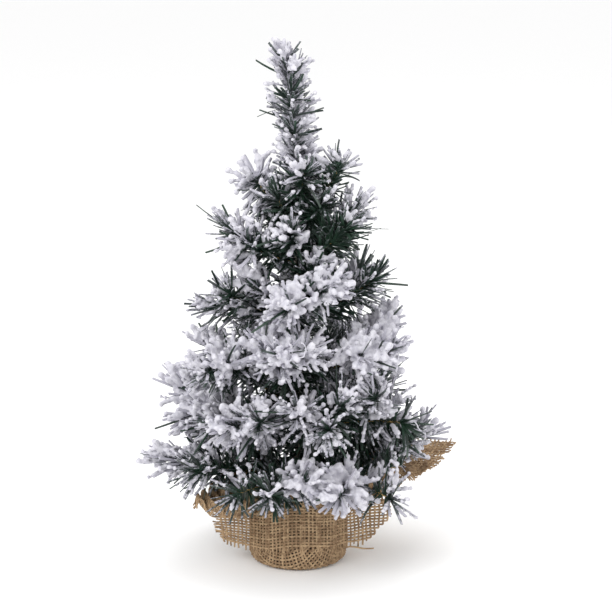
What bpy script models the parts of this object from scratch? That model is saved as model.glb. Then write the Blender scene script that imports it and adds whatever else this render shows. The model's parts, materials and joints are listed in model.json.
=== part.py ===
# Flocked tabletop tree on a cement weight wrapped in burlap.
#
# A cement weight stands on the table. A square of burlap is gathered up round it, and a burlap
# strip is wrapped round the front of that. Two twisted wires rise out of the weight as the
# trunk. Six tiers of wire branches and a leader are bound to the trunk, each inside a brush of
# needles. Every branch bends by hand where its wire leaves the trunk.
#
# Units are metres, +Z is up and the front faces -Y. The origin is the centre of the underside.

import math

import bmesh
import bpy
from mathutils import Matrix, Vector

MM = 0.001

# Clearance left between two pieces that touch on the real tree
FIT_GAP = 0.3 * MM
ROUND_STEPS = 32
SHARP_ANGLE = math.radians(35)

# Weight
WEIGHT_RADIUS = 30.5 * MM
WEIGHT_HEIGHT = 40 * MM
WEIGHT_FOOT_ROUND = 6 * MM
WEIGHT_TOP_ROUND = 2 * MM
FOOT_ARC_DEGREES = (-90, -60, -30, 0)
SOCKET_FLOOR = 8 * MM
SOCKET_BEVEL_RESOLUTION = 4

# Burlap
CLOTH_THICKNESS = 1.2 * MM
SQUARE_RIM_ABOVE_WEIGHT = 5 * MM
SQUARE_COLLAR = 4 * MM
# heading in degrees, how far the corner stands out from the rim, how far it rises, half width in degrees
SQUARE_CORNERS = (
    (22, 74 * MM, 13 * MM, 34),
    (112, 34 * MM, 5 * MM, 36),
    (200, 26 * MM, 3 * MM, 34),
)
STRIP_LIFT = 7 * MM
STRIP_BELOW_WEIGHT_TOP = 1 * MM
STRIP_LEFT_END = 24 * MM
STRIP_RIGHT_END = 28 * MM
STRIP_RIGHT_RISE = 5 * MM
STRIP_END_SLANT = 0.1
STRIP_END_SHARES = (0.25, 0.6, 1.0)
STRIP_ARC_STEPS = (19, 30)

# Trunk
TRUNK_WIRE_RADIUS = 1.1 * MM
TRUNK_TWIST_PITCH = 36 * MM
TRUNK_POINTS_PER_TURN = 8
TRUNK_ABOVE_TOP_TIER = 10 * MM

# Branch wires
STEM_RADIUS = 0.8 * MM
SIDE_STEM_RADIUS = 0.6 * MM
STEM_CLEARANCE = 0.35 * MM
STEM_SWAY = 3 * MM
# Shares of the reach and of the rise at which a wire's curve has its middle control point
STEM_MIDDLE_REACH = 0.5
STEM_MIDDLE_RISE = 0.2
STEM_STATIONS = (0.0, 0.14, 0.45, 0.75, 1.0)
# Side tips leave at this station, turned off the main wire, and are straight up to their knee
SIDE_STATION = 2
SIDE_ANGLE = math.radians(40)
SIDE_SHARE = 0.46
SIDE_KNEE = 0.5
SIDE_LIFT = 5 * MM

# Needles
NEEDLE_OVERHANG = 7 * MM
NEEDLE_PROFILE = (0.5, 0.85, 1.0, 0.95, 0.4)
SIDE_NEEDLE_PROFILE = (0.3, 0.85, 0.75, 0.3)

# Leader
LEADER_LENGTH = 88 * MM
LEADER_LEAN = 8 * MM
LEADER_NEEDLE_RADIUS = 8.5 * MM

BRANCH_LETTERS = "abcdef"
# Tiers from the bottom up: root height above the weight, needle radius, side tips on a branch,
# and for each branch its heading in degrees, its reach and how far its tip rises
TIERS = (
    {
        "above_weight": 19 * MM,
        "needles": 7 * MM,
        "side_tips": 2,
        "branches": (
            (190, 88 * MM, 13 * MM),
            (256, 72 * MM, 6 * MM),
            (320, 78 * MM, 5 * MM),
            (14, 84 * MM, 21 * MM),
            (74, 82 * MM, 12 * MM),
            (132, 84 * MM, 14 * MM),
        ),
    },
    {
        "above_weight": 52 * MM,
        "needles": 7 * MM,
        "side_tips": 2,
        "branches": (
            (167, 80 * MM, 14 * MM),
            (226, 66 * MM, 16 * MM),
            (288, 64 * MM, 24 * MM),
            (344, 74 * MM, 17 * MM),
            (44, 74 * MM, 19 * MM),
            (104, 72 * MM, 15 * MM),
        ),
    },
    {
        "above_weight": 89 * MM,
        "needles": 7 * MM,
        "side_tips": 2,
        "branches": (
            (196, 68 * MM, 14 * MM),
            (254, 54 * MM, 26 * MM),
            (336, 66 * MM, 27 * MM),
            (52, 60 * MM, 18 * MM),
            (126, 60 * MM, 18 * MM),
        ),
    },
    {
        "above_weight": 128 * MM,
        "needles": 7 * MM,
        "side_tips": 1,
        "branches": (
            (178, 54 * MM, 14 * MM),
            (264, 45 * MM, 22 * MM),
            (352, 50 * MM, 30 * MM),
            (86, 48 * MM, 20 * MM),
        ),
    },
    {
        "above_weight": 166 * MM,
        "needles": 7 * MM,
        "side_tips": 1,
        "branches": (
            (198, 43 * MM, 20 * MM),
            (318, 40 * MM, 28 * MM),
            (70, 38 * MM, 24 * MM),
        ),
    },
    {
        "above_weight": 200 * MM,
        "needles": 6.5 * MM,
        "side_tips": 0,
        "branches": (
            (160, 30 * MM, 17 * MM),
            (342, 27 * MM, 28 * MM),
        ),
    },
)

# What follows from the sizes above
CLOTH_INNER_RADIUS = WEIGHT_RADIUS + FIT_GAP
CLOTH_OUTER_RADIUS = CLOTH_INNER_RADIUS + CLOTH_THICKNESS
WEIGHT_UNDERSIDE = CLOTH_THICKNESS + FIT_GAP
WEIGHT_TOP = WEIGHT_UNDERSIDE + WEIGHT_HEIGHT
STRIP_HEIGHT = WEIGHT_TOP - STRIP_BELOW_WEIGHT_TOP - STRIP_LIFT
TRUNK_HELIX_RADIUS = TRUNK_WIRE_RADIUS + FIT_GAP / 2
TRUNK_RADIUS = TRUNK_HELIX_RADIUS + TRUNK_WIRE_RADIUS
TRUNK_BOTTOM = WEIGHT_UNDERSIDE + SOCKET_FLOOR + FIT_GAP
TRUNK_TOP = WEIGHT_TOP + TIERS[-1]["above_weight"] + TRUNK_ABOVE_TOP_TIER
ROOT_RADIUS = TRUNK_RADIUS + FIT_GAP + STEM_RADIUS / 2


def clear_scene():
    for old in list(bpy.data.objects):
        bpy.data.objects.remove(old, do_unlink=True)


def new_collection(name):
    collection = bpy.data.collections.new(name)
    bpy.context.scene.collection.children.link(collection)
    return collection


def new_material(name, colour, roughness, metallic=0.0):
    material = bpy.data.materials.new(name)
    material.use_nodes = True
    shader = material.node_tree.nodes["Principled BSDF"]
    shader.inputs["Base Color"].default_value = (*colour, 1.0)
    shader.inputs["Roughness"].default_value = roughness
    shader.inputs["Metallic"].default_value = metallic
    return material


def add_part(name, mesh, material, collection, parent=None):
    part = bpy.data.objects.new(name, mesh)
    collection.objects.link(part)
    mesh.materials.clear()
    mesh.materials.append(material)
    part.parent = parent
    return part


def add_helper(name, mesh, collection, parent=None):
    helper = bpy.data.objects.new(name, mesh)
    collection.objects.link(helper)
    helper.parent = parent
    helper.hide_render = True
    helper.display_type = "WIRE"
    return helper


def add_boolean(part, operation, other):
    modifier = part.modifiers.new(f"{operation.lower()} {other.name}", "BOOLEAN")
    modifier.operation = operation
    modifier.solver = "EXACT"
    modifier.object = other


def mesh_from_curve(curve):
    """The closed mesh of a curve, with its caps welded on."""
    holder = bpy.data.objects.new(curve.name, curve)
    bpy.context.scene.collection.objects.link(holder)
    graph = bpy.context.evaluated_depsgraph_get()
    mesh = bpy.data.meshes.new_from_object(holder.evaluated_get(graph))
    bpy.data.objects.remove(holder, do_unlink=True)
    bpy.data.curves.remove(curve)
    work = bmesh.new()
    work.from_mesh(mesh)
    bmesh.ops.remove_doubles(work, verts=work.verts, dist=0.001 * MM)
    bmesh.ops.recalc_face_normals(work, faces=work.faces)
    work.to_mesh(mesh)
    work.free()
    return mesh


def tube_mesh(name, points, radii, bevel_resolution=1):
    """A tube along the points, each with its own radius. Resolution 1 gives six sides."""
    curve = bpy.data.curves.new(name, "CURVE")
    curve.dimensions = "3D"
    curve.bevel_depth = 1.0
    curve.bevel_resolution = bevel_resolution
    curve.use_fill_caps = True
    spline = curve.splines.new("POLY")
    spline.points.add(len(points) - 1)
    for spline_point, point, radius in zip(spline.points, points, radii):
        spline_point.co = (*point, 1.0)
        spline_point.radius = radius
    return mesh_from_curve(curve)


def smooth(mesh):
    mesh.shade_smooth()
    mesh.set_sharp_from_angle(angle=SHARP_ANGLE)


# Cement weight


def weight_profile():
    """Half section of the weight at +X, from the top centre down to the bottom centre."""
    foot_centre = Vector((WEIGHT_RADIUS - WEIGHT_FOOT_ROUND, WEIGHT_UNDERSIDE + WEIGHT_FOOT_ROUND))
    profile = [
        Vector((0, WEIGHT_TOP)),
        Vector((WEIGHT_RADIUS - WEIGHT_TOP_ROUND, WEIGHT_TOP)),
        Vector((WEIGHT_RADIUS, WEIGHT_TOP - WEIGHT_TOP_ROUND)),
    ]
    for degrees in reversed(FOOT_ARC_DEGREES):
        turn = math.radians(degrees)
        profile.append(foot_centre + WEIGHT_FOOT_ROUND * Vector((math.cos(turn), math.sin(turn))))
    profile.append(Vector((0, WEIGHT_UNDERSIDE)))
    return profile


def add_weight(material, parts, cutters):
    work = bmesh.new()
    verts = [work.verts.new((point.x, 0, point.y)) for point in weight_profile()]
    for first, second in zip(verts, verts[1:]):
        work.edges.new((first, second))
    mesh = bpy.data.meshes.new("cement_weight")
    work.to_mesh(mesh)
    work.free()
    weight = add_part("cement_weight", mesh, material, parts)
    screw = weight.modifiers.new("turn", "SCREW")
    screw.steps = ROUND_STEPS
    screw.render_steps = ROUND_STEPS
    screw.use_merge_vertices = True
    screw.merge_threshold = 0.0001
    socket_radius = TRUNK_RADIUS + FIT_GAP
    socket_top = WEIGHT_TOP + WEIGHT_FOOT_ROUND
    socket_floor = WEIGHT_UNDERSIDE + SOCKET_FLOOR
    ends = [Vector((0, 0, socket_floor)), Vector((0, 0, socket_top))]
    mesh = tube_mesh("trunk_socket", ends, [socket_radius] * len(ends), SOCKET_BEVEL_RESOLUTION)
    add_boolean(weight, "DIFFERENCE", add_helper("trunk_socket", mesh, cutters))


# Burlap square, gathered up from under the weight


def corner_bump(heading, corner_heading, half_width):
    """1 at the corner's heading, falling smoothly to 0 at its half width."""
    off = abs((heading - corner_heading + 180) % 360 - 180) / half_width
    return (1 + math.cos(math.pi * off)) / 2 if off < 1 else 0.0


def square_rings():
    """Radius and height of the cloth's inner face at each heading, from the underside to the edge."""
    foot_radius = CLOTH_INNER_RADIUS - WEIGHT_FOOT_ROUND
    foot_height = CLOTH_THICKNESS + WEIGHT_FOOT_ROUND
    rim_height = WEIGHT_TOP + SQUARE_RIM_ABOVE_WEIGHT
    rings = []
    for degrees in FOOT_ARC_DEGREES:
        turn = math.radians(degrees)
        radius = foot_radius + WEIGHT_FOOT_ROUND * math.cos(turn)
        height = foot_height + WEIGHT_FOOT_ROUND * math.sin(turn)
        rings.append([(radius, height)] * ROUND_STEPS)
    rings.append([(CLOTH_INNER_RADIUS, WEIGHT_TOP)] * ROUND_STEPS)
    for share in (0.0, 0.5, 1.0):
        collar = SQUARE_COLLAR * (1 + share) / 2
        ring = []
        for step in range(ROUND_STEPS):
            heading = 360 * step / ROUND_STEPS
            radius = CLOTH_INNER_RADIUS + collar
            height = rim_height
            for corner_heading, reach, rise, half_width in SQUARE_CORNERS:
                bump = corner_bump(heading, corner_heading, half_width)
                radius += share * reach * bump
                height += share * rise * bump
            ring.append((radius, height))
        rings.append(ring)
    return rings


def add_burlap_square(material, parts):
    work = bmesh.new()
    previous = None
    for ring in square_rings():
        verts = []
        for step, (radius, height) in enumerate(ring):
            turn = 2 * math.pi * step / ROUND_STEPS
            verts.append(work.verts.new((radius * math.cos(turn), radius * math.sin(turn), height)))
        edges = [work.edges.new((verts[step - 1], verts[step])) for step in range(ROUND_STEPS)]
        if previous is None:
            work.faces.new(verts)
        else:
            bmesh.ops.bridge_loops(work, edges=previous + edges)
        previous = edges
    bmesh.ops.recalc_face_normals(work, faces=work.faces)
    mesh = bpy.data.meshes.new("burlap_square")
    work.to_mesh(mesh)
    work.free()
    smooth(mesh)
    square = add_part("burlap_square", mesh, material, parts)
    wall = square.modifiers.new("cloth", "SOLIDIFY")
    wall.thickness = CLOTH_THICKNESS
    wall.offset = 1.0 if mesh.polygons[0].normal.z < 0 else -1.0
    wall.use_even_offset = True


# Burlap strip, wrapped round the front with both ends standing out


def strip_path():
    """Plan of the strip's inner face, from its left end round the front to its right end."""
    radius = CLOTH_OUTER_RADIUS + FIT_GAP
    arc = []
    for step in range(STRIP_ARC_STEPS[0], STRIP_ARC_STEPS[1] + 1):
        turn = 2 * math.pi * step / ROUND_STEPS
        arc.append(Vector((radius * math.cos(turn), radius * math.sin(turn), 0)))
    left_step = Vector((-STRIP_LEFT_END, -STRIP_LEFT_END * STRIP_END_SLANT, 0))
    right_step = Vector((STRIP_RIGHT_END, STRIP_RIGHT_END * STRIP_END_SLANT, 0))
    left_end = [arc[0] + share * left_step for share in reversed(STRIP_END_SHARES)]
    right_end = [arc[-1] + share * right_step for share in STRIP_END_SHARES]
    return left_end + arc + right_end


def add_burlap_strip(material, parts):
    work = bmesh.new()
    path = strip_path()
    right_edge = CLOTH_OUTER_RADIUS
    bottom = [work.verts.new(point + Vector((0, 0, STRIP_LIFT))) for point in path]
    edges = [work.edges.new(pair) for pair in zip(bottom, bottom[1:])]
    top = bmesh.ops.extrude_edge_only(work, edges=edges)["geom"]
    top_verts = [item for item in top if isinstance(item, bmesh.types.BMVert)]
    bmesh.ops.translate(work, verts=top_verts, vec=(0, 0, STRIP_HEIGHT))
    for vert in work.verts:
        vert.co.z += STRIP_RIGHT_RISE * max(0.0, vert.co.x - right_edge) / STRIP_RIGHT_END
    mesh = bpy.data.meshes.new("burlap_strip")
    work.to_mesh(mesh)
    work.free()
    strip = add_part("burlap_strip", mesh, material, parts)
    wall = strip.modifiers.new("cloth", "SOLIDIFY")
    wall.thickness = CLOTH_THICKNESS
    front = min(mesh.polygons, key=lambda face: face.center.y)
    wall.offset = 1.0 if front.normal.y < 0 else -1.0
    wall.use_even_offset = True


# Trunk of two twisted wires


def add_trunk(material, parts):
    turns = (TRUNK_TOP - TRUNK_BOTTOM) / TRUNK_TWIST_PITCH
    count = round(turns * TRUNK_POINTS_PER_TURN)
    for name, start in (("trunk_wire_a", 0.0), ("trunk_wire_b", math.pi)):
        points = []
        for step in range(count + 1):
            share = step / count
            turn = start + 2 * math.pi * turns * share
            height = TRUNK_BOTTOM + share * (TRUNK_TOP - TRUNK_BOTTOM)
            across = TRUNK_HELIX_RADIUS * Vector((math.cos(turn), math.sin(turn)))
            points.append(Vector((across.x, across.y, height)))
        mesh = tube_mesh(name, points, [TRUNK_WIRE_RADIUS] * len(points))
        smooth(mesh)
        add_part(name, mesh, material, parts)


# Branches: in a branch's own frame the wire leaves the trunk at the origin along +X, and it
# bends about -Y


def stem_path(reach, rise, sway):
    """Points of a wire that leaves level and curves up to its tip."""
    middle = Vector((reach * STEM_MIDDLE_REACH, sway, rise * STEM_MIDDLE_RISE))
    tip = Vector((reach, 0, rise))
    points = []
    for share in STEM_STATIONS:
        points.append(2 * share * (1 - share) * middle + share * share * tip)
    return points


def side_path(main, side, lift):
    """Points of a side tip's wire, which leaves the main wire part way out."""
    start = main[SIDE_STATION]
    along = (main[-1] - start).normalized()
    length = main[-1].length * SIDE_SHARE
    turned = Matrix.Rotation(side * SIDE_ANGLE, 3, "Z") @ along
    knee = start + turned * length * SIDE_KNEE
    tip = start + turned * length + Vector((0, 0, lift))
    return [start, knee, tip]


def extended(points, overhang):
    """The same points and one past the last."""
    return points + [points[-1] + (points[-1] - points[-2]).normalized() * overhang]


def add_branch(label, holder, main, needle_radius, side_tips, materials, parts, cutters):
    """One wire branch with its side tips, and the brush of needles round it."""
    sides = [side_path(main, side, SIDE_LIFT) for side in (1, -1)[:side_tips]]

    mesh = tube_mesh(f"stem_{label}", main, [STEM_RADIUS] * len(main))
    stem = add_part(f"stem_{label}", mesh, materials["wire"], parts, holder)

    brush_path = extended(main[1:], NEEDLE_OVERHANG)
    radii = [needle_radius * share for share in NEEDLE_PROFILE]
    mesh = tube_mesh(f"needles_{label}", brush_path, radii)
    needles = add_part(f"needles_{label}", mesh, materials["needles"], parts, holder)

    for number, side in enumerate(sides):
        wire = tube_mesh("side_wire", side, [SIDE_STEM_RADIUS] * len(side))
        add_boolean(stem, "UNION", add_helper(f"side_wire_{label}_{number}", wire, cutters, holder))
        side_radii = [needle_radius * share for share in SIDE_NEEDLE_PROFILE]
        lobe = tube_mesh("side_lobe", extended(side, NEEDLE_OVERHANG), side_radii)
        add_boolean(needles, "UNION", add_helper(f"side_lobe_{label}_{number}", lobe, cutters, holder))

    wires = [(main, STEM_RADIUS)] + [(side, SIDE_STEM_RADIUS) for side in sides]
    for number, (wire, radius) in enumerate(wires):
        path = extended(wire, STEM_CLEARANCE)
        bore = tube_mesh("bore", path, [radius + STEM_CLEARANCE] * len(path))
        add_boolean(needles, "DIFFERENCE", add_helper(f"bore_{label}_{number}", bore, cutters, holder))


def add_holder(name, place, rotation, collection):
    """The empty on a branch's joint: its origin is the bending point, and it bends about -Y."""
    holder = bpy.data.objects.new(name, None)
    collection.objects.link(holder)
    holder.empty_display_size = 5 * MM
    holder.location = place
    holder.rotation_euler = rotation
    return holder


def add_tiers(materials, parts, cutters):
    for tier_number, tier in enumerate(TIERS, start=1):
        height = WEIGHT_TOP + tier["above_weight"]
        for number, (heading, reach, rise) in enumerate(tier["branches"]):
            label = f"{tier_number}{BRANCH_LETTERS[number]}"
            turn = math.radians(heading)
            place = (ROOT_RADIUS * math.cos(turn), ROOT_RADIUS * math.sin(turn), height)
            holder = add_holder(f"branch_{label}", place, (0, 0, turn), parts)
            main = stem_path(reach - ROOT_RADIUS, rise, STEM_SWAY * (-1) ** number)
            add_branch(label, holder, main, tier["needles"], tier["side_tips"], materials, parts, cutters)


def add_leader(materials, parts, cutters):
    """The top brush, whose frame is turned so that its +X points up and it leans to the left."""
    place = (0, 0, TRUNK_TOP + FIT_GAP)
    holder = add_holder("leader", place, (0, -math.pi / 2, 0), parts)
    main = stem_path(LEADER_LENGTH, LEADER_LEAN, 0)
    add_branch("leader", holder, main, LEADER_NEEDLE_RADIUS, 0, materials, parts, cutters)


def main():
    clear_scene()
    parts = new_collection("tabletop_tree")
    cutters = new_collection("tabletop_tree_cutters")
    cement = new_material("cement", (0.55, 0.53, 0.50), 0.9)
    burlap = new_material("burlap", (0.46, 0.33, 0.19), 0.9)
    steel = new_material("trunk_steel", (0.35, 0.33, 0.28), 0.45, 0.9)
    materials = {
        "wire": new_material("brassy_wire", (0.62, 0.45, 0.20), 0.35, 0.9),
        "needles": new_material("flocked_needles", (0.55, 0.60, 0.58), 0.8),
    }
    add_weight(cement, parts, cutters)
    add_burlap_square(burlap, parts)
    add_burlap_strip(burlap, parts)
    add_trunk(steel, parts)
    add_tiers(materials, parts, cutters)
    add_leader(materials, parts, cutters)


main()
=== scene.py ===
import json
import math
import random

import bmesh
import bpy
from mathutils import Matrix, Vector, noise


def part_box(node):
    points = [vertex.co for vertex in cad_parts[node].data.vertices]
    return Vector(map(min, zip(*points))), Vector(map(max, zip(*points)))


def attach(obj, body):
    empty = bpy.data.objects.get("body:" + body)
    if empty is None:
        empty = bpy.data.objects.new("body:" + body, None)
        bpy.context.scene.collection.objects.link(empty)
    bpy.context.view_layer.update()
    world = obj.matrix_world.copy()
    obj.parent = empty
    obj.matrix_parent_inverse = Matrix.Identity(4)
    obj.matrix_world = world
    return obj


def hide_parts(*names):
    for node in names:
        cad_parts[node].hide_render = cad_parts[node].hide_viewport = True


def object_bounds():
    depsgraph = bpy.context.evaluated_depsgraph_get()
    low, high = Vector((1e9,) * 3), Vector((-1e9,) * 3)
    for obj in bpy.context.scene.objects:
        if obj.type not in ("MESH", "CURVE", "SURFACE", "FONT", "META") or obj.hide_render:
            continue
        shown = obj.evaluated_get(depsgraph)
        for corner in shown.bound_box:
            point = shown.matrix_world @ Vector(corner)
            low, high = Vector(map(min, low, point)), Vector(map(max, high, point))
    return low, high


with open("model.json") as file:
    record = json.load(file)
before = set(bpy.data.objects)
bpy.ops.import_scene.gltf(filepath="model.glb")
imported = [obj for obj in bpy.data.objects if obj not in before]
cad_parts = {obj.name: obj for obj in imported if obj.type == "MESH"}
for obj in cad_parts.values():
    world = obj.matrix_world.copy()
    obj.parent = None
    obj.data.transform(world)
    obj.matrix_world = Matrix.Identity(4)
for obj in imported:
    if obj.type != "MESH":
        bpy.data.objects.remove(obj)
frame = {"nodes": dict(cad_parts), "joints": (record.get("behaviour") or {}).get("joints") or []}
cadLow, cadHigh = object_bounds()
print("frame loaded:", len(frame["nodes"]), "nodes")

mm = 0.001
goldenTurn = math.radians(137.5)
weldGap = 0.002 * mm
# noise vectors start from the time of day unless they are seeded
noise.seed_set(5)


# Shared helpers

def newObject(name, data):
    made = bpy.data.objects.new(name, data)
    bpy.context.scene.collection.objects.link(made)
    return made


def newPiece(name, mesh, body, slotName, *replaced):
    piece = newObject(name, mesh)
    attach(piece, body)
    if replaced:
        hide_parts(*replaced)
    return piece


def meshOf(work, name):
    mesh = bpy.data.meshes.new(name)
    work.to_mesh(mesh)
    work.free()
    return mesh


def addCopy(work, mesh):
    # a mesh copied into a bmesh, and its new vertices
    before = len(work.verts)
    work.from_mesh(mesh)
    work.verts.ensure_lookup_table()
    return work.verts[before:]


def setMaterial(piece, material):
    piece.data.materials.clear()
    piece.data.materials.append(material)


def evaluatedMesh(holder):
    # the mesh that an object's modifiers or bevel make, with the object gone
    graph = bpy.context.evaluated_depsgraph_get()
    mesh = bpy.data.meshes.new_from_object(holder.evaluated_get(graph))
    bpy.data.objects.remove(holder, do_unlink=True)
    return mesh


def tubesMesh(name, routes, sides=1):
    # one mesh of many tubes; a route is a list of (point, radius), and sides is the bevel resolution
    curve = bpy.data.curves.new(name, "CURVE")
    curve.dimensions = "3D"
    curve.bevel_depth = 1.0
    curve.bevel_resolution = sides
    curve.use_fill_caps = True
    for route in routes:
        spline = curve.splines.new("POLY")
        spline.points.add(len(route) - 1)
        for splinePoint, (place, radius) in zip(spline.points, route):
            splinePoint.co = (*place, 1.0)
            splinePoint.radius = radius
    mesh = evaluatedMesh(newObject(name, curve))
    bpy.data.curves.remove(curve)
    work = bmesh.new()
    work.from_mesh(mesh)
    bmesh.ops.remove_doubles(work, verts=work.verts, dist=weldGap)
    bmesh.ops.recalc_face_normals(work, faces=work.faces)
    work.to_mesh(mesh)
    work.free()
    mesh.shade_smooth()
    return mesh


# Node groups

def newGroup(name, inputs, outputs):
    group = bpy.data.node_groups.new(name, "ShaderNodeTree")
    group.interface.new_socket("Vector", in_out="INPUT", socket_type="NodeSocketVector")
    for socketName, value in inputs.items():
        kind = "NodeSocketColor" if isinstance(value, tuple) else "NodeSocketFloat"
        group.interface.new_socket(socketName, in_out="INPUT", socket_type=kind).default_value = value
    for socketName in outputs:
        kind = "NodeSocketColor" if socketName == "Color" else "NodeSocketFloat"
        group.interface.new_socket(socketName, in_out="OUTPUT", socket_type=kind)
    return group, group.nodes.new("NodeGroupInput"), group.nodes.new("NodeGroupOutput")


def addNode(tree, kind, settings=None, **values):
    node = tree.nodes.new(kind)
    for key, value in (settings or {}).items():
        setattr(node, key, value)
    for key, value in values.items():
        node.inputs[key.replace("_", " ")].default_value = value
    return node


def feed(tree, socket, value):
    # a number or a colour is set, and another node's output is linked
    if isinstance(value, (int, float, tuple)):
        socket.default_value = value
    elif value is not None:
        tree.links.new(value, socket)


def mathNode(tree, operation, *values):
    node = addNode(tree, "ShaderNodeMath", {"operation": operation})
    for socket, value in zip(node.inputs, values):
        feed(tree, socket, value)
    return node.outputs[0]


def mixColour(tree, factor, first, second):
    node = tree.nodes.new("ShaderNodeMix")
    node.data_type = "RGBA"
    for name, value in (("Factor", factor), ("A", first), ("B", second)):
        feed(tree, next(item for item in node.inputs if item.name == name and item.enabled), value)
    return next(item for item in node.outputs if item.enabled)


def mapRange(tree, value, fromLow, fromHigh, toLow=0.0, toHigh=1.0):
    node = addNode(tree, "ShaderNodeMapRange", {"interpolation_type": "SMOOTHSTEP"})
    names = ("Value", "From Min", "From Max", "To Min", "To Max")
    for key, number in zip(names, (value, fromLow, fromHigh, toLow, toHigh)):
        feed(tree, node.inputs[key], number)
    return node.outputs["Result"]


coverRule = {"grainShare": 0.35, "threshold": 1.12}
toneRange = (0.3, 0.7)


def speckleGroup():
    # patchy cover: how much of a coat lies on a surface, from an amount and two sizes of patch
    inputs = {"Amount": 0.5, "Patch Scale": 400.0, "Grain Scale": 2500.0, "Softness": 0.12}
    group, start, end = newGroup("patchyCover", inputs, ("Cover", "Grain"))
    patch = addNode(group, "ShaderNodeTexNoise", Detail=3.0, Roughness=0.6)
    grain = addNode(group, "ShaderNodeTexNoise", Detail=2.0, Roughness=0.7)
    for node, scale in ((patch, "Patch Scale"), (grain, "Grain Scale")):
        group.links.new(start.outputs["Vector"], node.inputs["Vector"])
        group.links.new(start.outputs[scale], node.inputs["Scale"])
    both = mathNode(
        group, "MULTIPLY_ADD", grain.outputs["Fac"], coverRule["grainShare"], patch.outputs["Fac"],
    )
    threshold = mathNode(group, "SUBTRACT", coverRule["threshold"], start.outputs["Amount"])
    high = mathNode(group, "ADD", threshold, start.outputs["Softness"])
    cover = mapRange(group, both, threshold, high)
    group.links.new(cover, end.inputs["Cover"])
    group.links.new(grain.outputs["Fac"], end.inputs["Grain"])
    return group


def toneGroup():
    # slow change of tone over a piece, between two colours
    inputs = {"Dark": (0.1, 0.1, 0.1, 1), "Light": (0.5, 0.5, 0.5, 1), "Scale": 60.0, "Shift": 0.0}
    group, start, end = newGroup("slowTone", inputs, ("Color", "Value"))
    texture = addNode(group, "ShaderNodeTexNoise", Detail=4.0, Roughness=0.55)
    group.links.new(start.outputs["Vector"], texture.inputs["Vector"])
    group.links.new(start.outputs["Scale"], texture.inputs["Scale"])
    value = mathNode(group, "ADD", texture.outputs["Fac"], start.outputs["Shift"])
    value = mapRange(group, value, *toneRange)
    colour = mixColour(group, value, start.outputs["Dark"], start.outputs["Light"])
    group.links.new(colour, end.inputs["Color"])
    group.links.new(value, end.inputs["Value"])
    return group


patchyCover = speckleGroup()
slowTone = toneGroup()


def placeGroup(tree, group, **values):
    node = tree.nodes.new("ShaderNodeGroup")
    node.node_tree = group
    for key, value in values.items():
        feed(tree, node.inputs[key.replace("_", " ")], value)
    return node


def newMaterial(name, roughness=0.5, metallic=0.0):
    material = bpy.data.materials.new(name)
    material.use_nodes = True
    shader = material.node_tree.nodes["Principled BSDF"]
    shader.inputs["Roughness"].default_value = roughness
    shader.inputs["Metallic"].default_value = metallic
    return material, material.node_tree, shader


def attributeValue(tree, name):
    node = tree.nodes.new("ShaderNodeAttribute")
    node.attribute_name = name
    return node.outputs["Fac"]


def tonedMaterial(name, finish):
    # a material whose colour changes slowly between the finish's two tones
    material, tree, shader = newMaterial(name, finish["roughness"], finish.get("metallic", 0.0))
    place = tree.nodes.new("ShaderNodeTexCoord").outputs["Object"]
    dark, light = finish["tones"]
    tone = placeGroup(
        tree, slowTone, Vector=place, Dark=dark, Light=light,
        Scale=finish["toneScale"], Shift=finish.get("toneShift", 0.0),
    )
    tree.links.new(tone.outputs["Color"], shader.inputs["Base Color"])
    return material, tree, shader, place, tone


def addGrain(tree, place, scale, detail, roughness):
    grain = addNode(tree, "ShaderNodeTexNoise", Scale=scale, Detail=detail, Roughness=roughness)
    tree.links.new(place, grain.inputs["Vector"])
    return grain.outputs["Fac"]


def addBump(tree, shader, height, strength, distance):
    bump = addNode(tree, "ShaderNodeBump", Strength=strength, Distance=distance)
    tree.links.new(height, bump.inputs["Height"])
    tree.links.new(bump.outputs["Normal"], shader.inputs["Normal"])


# a finish's two tones are its dark and its light one, and its bump is a strength and a depth
needleFinish = {
    "tones": ((0.010, 0.019, 0.014, 1), (0.018, 0.050, 0.028, 1)),
    "toneScale": 90.0,
    "dust": (0.16, 0.165, 0.185, 1),
    "dustShare": 0.55,
    "dustFromFlock": (1.2, 0.12),
    "dustPatch": 800.0,
    "dustSoftness": 0.35,
    "coat": (0.46, 0.45, 0.51, 1),
    "coatPatch": 420.0,
    "roughness": 0.42,
    "coatRoughness": 0.95,
    "bump": (0.5, 0.3 * mm),
}
flockFinish = {
    "tones": ((0.50, 0.49, 0.56, 1), (0.68, 0.67, 0.72, 1)),
    "toneScale": 260.0,
    "toneShift": 0.08,
    "roughness": 1.0,
    "grain": (1500.0, 4.0, 0.75),
    "bump": (0.8, 0.5 * mm),
}
wireFinish = {
    "tones": ((0.14, 0.10, 0.06, 1), (0.50, 0.35, 0.15, 1)),
    "toneScale": 300.0,
    "toneShift": 0.1,
    "metallic": 1.0,
    "roughness": 0.35,
    "roughRange": (0.5, 0.28),
}
trunkFinish = {
    "tones": ((0.10, 0.09, 0.07, 1), (0.30, 0.28, 0.24, 1)),
    "toneScale": 150.0,
    "metallic": 0.9,
    "roughness": 0.45,
}
# the weight's tones are a very dark brown: partly the cement's own colour, partly painted shade for the gaps
# between the burlap's yarns, where it shows through
cementAndShadeFinish = {
    "tones": ((0.05, 0.037, 0.027, 1), (0.10, 0.08, 0.06, 1)),
    "toneScale": 120.0,
    "roughness": 0.92,
    "grain": (700.0, 5.0, 0.7),
    "bump": (0.6, 0.6 * mm),
}
juteFinish = {
    "tones": ((0.23, 0.142, 0.076, 1), (0.47, 0.325, 0.19, 1)),
    "toneScale": 220.0,
    # from a yarn's own tone, 0 to 1, to its shift between dark and light
    "yarnShift": (0.22, -0.12),
    "roughness": 0.9,
    "fibre": (1800.0, 3.0, 0.8),
    "fibreRange": (0.35, 0.75),
    "fibreShare": 0.35,
    "bump": (0.7, 0.3 * mm),
}


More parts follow.
